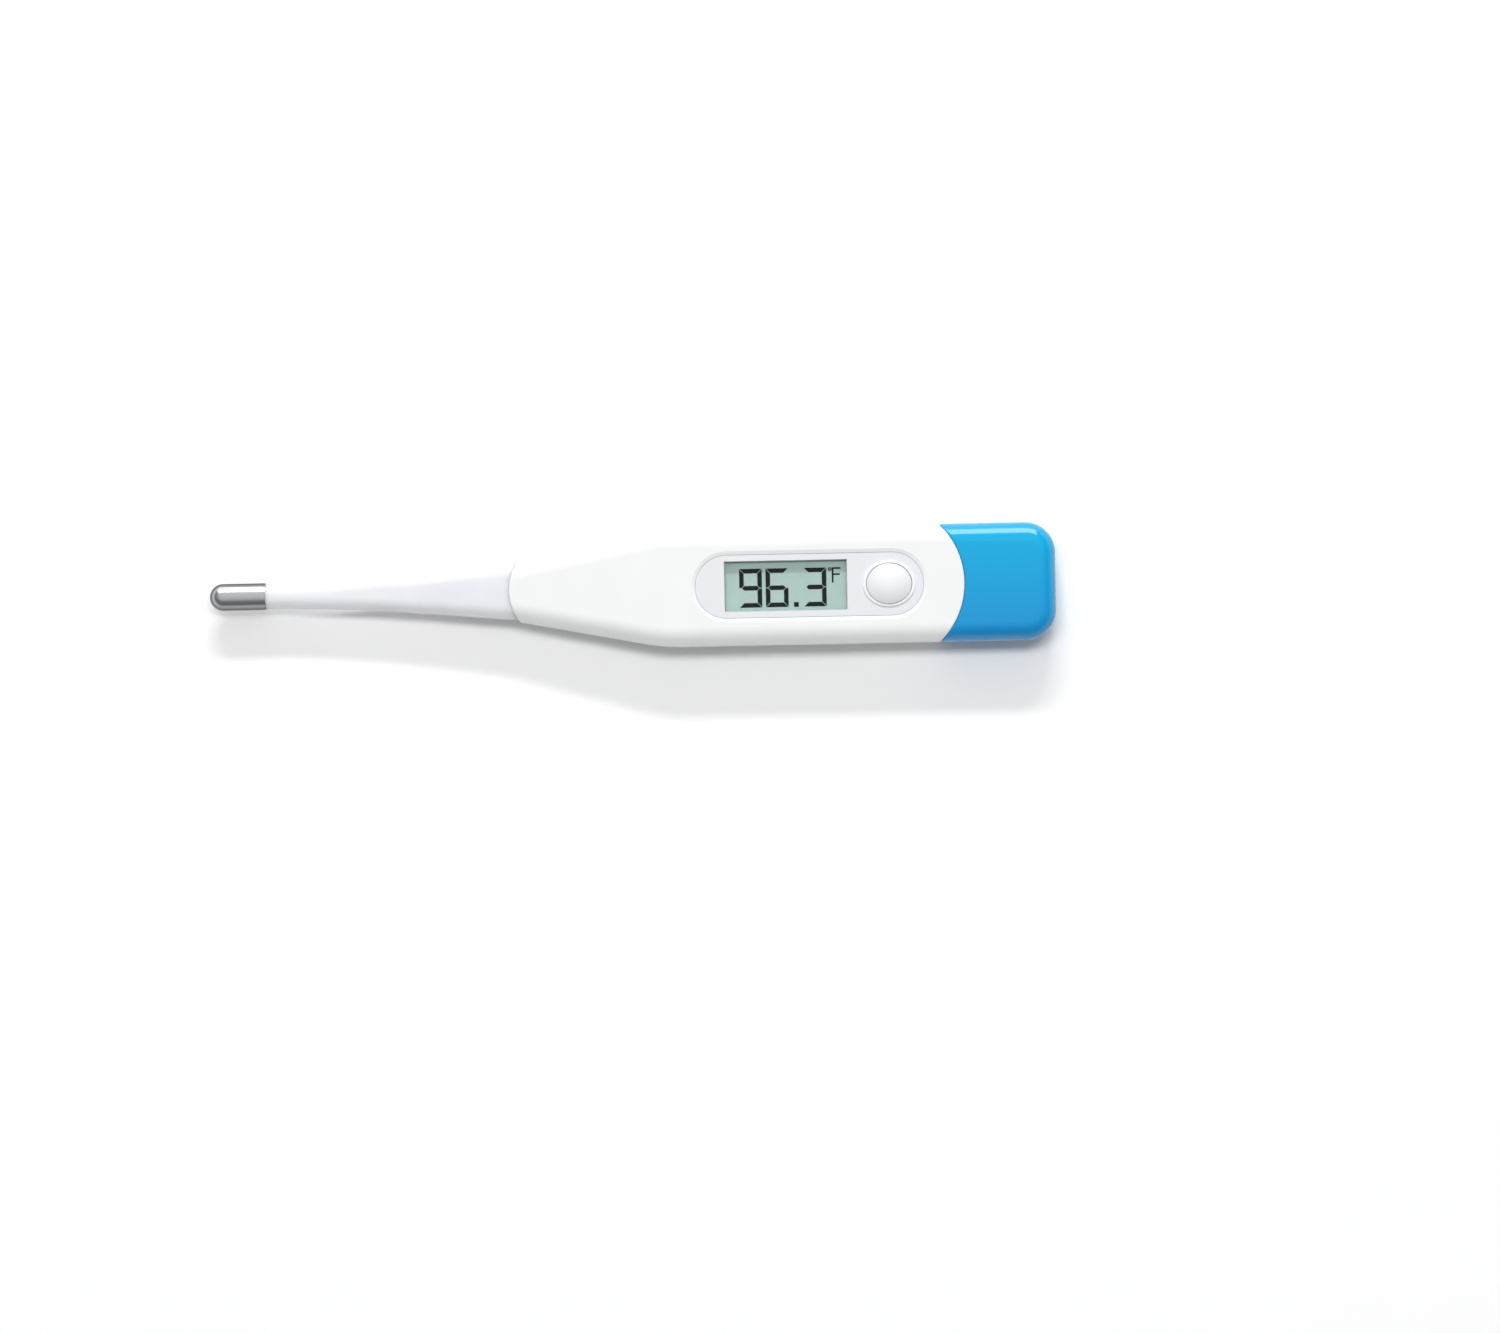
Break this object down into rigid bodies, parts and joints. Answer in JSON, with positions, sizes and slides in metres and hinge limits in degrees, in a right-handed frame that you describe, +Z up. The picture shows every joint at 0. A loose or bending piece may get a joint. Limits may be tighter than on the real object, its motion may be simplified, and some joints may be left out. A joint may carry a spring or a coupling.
{
  "type": "digital thermometer",
  "caption": "Slim digital clinical thermometer with a flexible tapered neck, metal sensor tip, recessed display and push button, and a pull-off battery cover.",
  "frame": {"origin": "centre of the bounding box's footprint, on the flat underside", "axes": "+X from the metal tip towards the battery cover, +Y across the body, +Z up out of the display face"},
  "size_m": [0.127, 0.0176, 0.0115],
  "materials": {
    "white_abs": "satin-gloss moulded ABS",
    "panel_grey": "fine satin",
    "adhesive": "matt",
    "window_clear": "clear, polished acrylic",
    "ring_white": "satin",
    "button_white": "satin-gloss",
    "soft_neck": "soft satin elastomer",
    "core_plastic": "matt",
    "tip_steel": "polished, drawn",
    "bead_glass": "glossy",
    "epoxy": "glossy",
    "lead_enamel": "enamelled",
    "solder": "bright",
    "cover_blue": "gloss moulded ABS",
    "seal_rubber": "matt",
    "chassis_plastic": "fine matt",
    "board_green": "solder mask",
    "blob_black": "glossy epoxy",
    "chip_dark": "matt",
    "frame_plastic": "matt",
    "reflector_foil": "grey-green reflective film",
    "display_glass": "thin clear glass",
    "polarizer_film": "grey-green film",
    "zebra_rubber": "matt",
    "switch_plastic": "matt",
    "dome_rubber": "matt",
    "cell_steel": "bright can",
    "contact_metal": "plated spring strip",
    "buzzer_brass": "plain",
    "ceramic_white": "matt"
  },
  "bodies": {
    "housing": {"main_housing": "white_abs", "face_panel": "panel_grey", "panel_adhesive": "adhesive", "display_window": "window_clear", "button_ring": "ring_white", "neck_rear": "soft_neck", "neck_core": "core_plastic", "cover_seal": "seal_rubber", "lead_slack": "lead_enamel", "sensor_leads": "lead_enamel"},
    "button": {"power_button": "button_white"},
    "neck_middle": {"neck_middle": "soft_neck"},
    "sensor_tip": {"neck_front": "soft_neck", "sensor_cap": "tip_steel", "thermistor_bead": "bead_glass", "tip_potting": "epoxy"},
    "chassis": {"chassis": "chassis_plastic", "circuit_board": "board_green", "processor_blob": "blob_black", "chip_components": "chip_dark", "solder_joints": "solder", "display_frame": "frame_plastic", "display_reflector": "reflector_foil", "display_rear_glass": "display_glass", "display_front_glass": "display_glass", "display_polarizer": "polarizer_film", "zebra_strips": "zebra_rubber", "switch_body": "switch_plastic", "switch_dome": "dome_rubber", "button_cell": "cell_steel", "negative_contact": "contact_metal", "positive_contact": "contact_metal", "buzzer_disc": "buzzer_brass", "buzzer_ceramic": "ceramic_white", "buzzer_springs": "contact_metal"},
    "battery_cover": {"battery_cover": "cover_blue"}
  },
  "joints": [
    {"name": "button_press", "type": "slide", "parent": "housing", "child": "button", "axis": [0, 0, -1], "range_m": [0, 0.0002], "stiffness_N_per_m": 2500, "deforming": ["switch_dome"]},
    {"name": "neck_lift", "type": "hinge", "parent": "housing", "child": "neck_middle", "pos_m": [-0.032, 0, 0.0052], "axis": [0, 1, 0], "range_deg": [-5, 45], "stiffness_Nm_per_rad": 0.03, "deforming": ["sensor_leads"]},
    {"name": "neck_swing", "type": "hinge", "parent": "neck_middle", "child": "sensor_tip", "pos_m": [-0.045, 0, 0.0052], "axis": [0, 0, 1], "range_deg": [-40, 40], "stiffness_Nm_per_rad": 0.03, "deforming": ["sensor_leads"]},
    {"name": "chassis_slide", "type": "slide", "parent": "housing", "child": "chassis", "axis": [1, 0, 0], "range_m": [0, 0.01], "deforming": ["lead_slack"]},
    {"name": "cover_pull", "type": "slide", "parent": "chassis", "child": "battery_cover", "axis": [1, 0, 0], "range_m": [0, 0.018]}
  ]
}
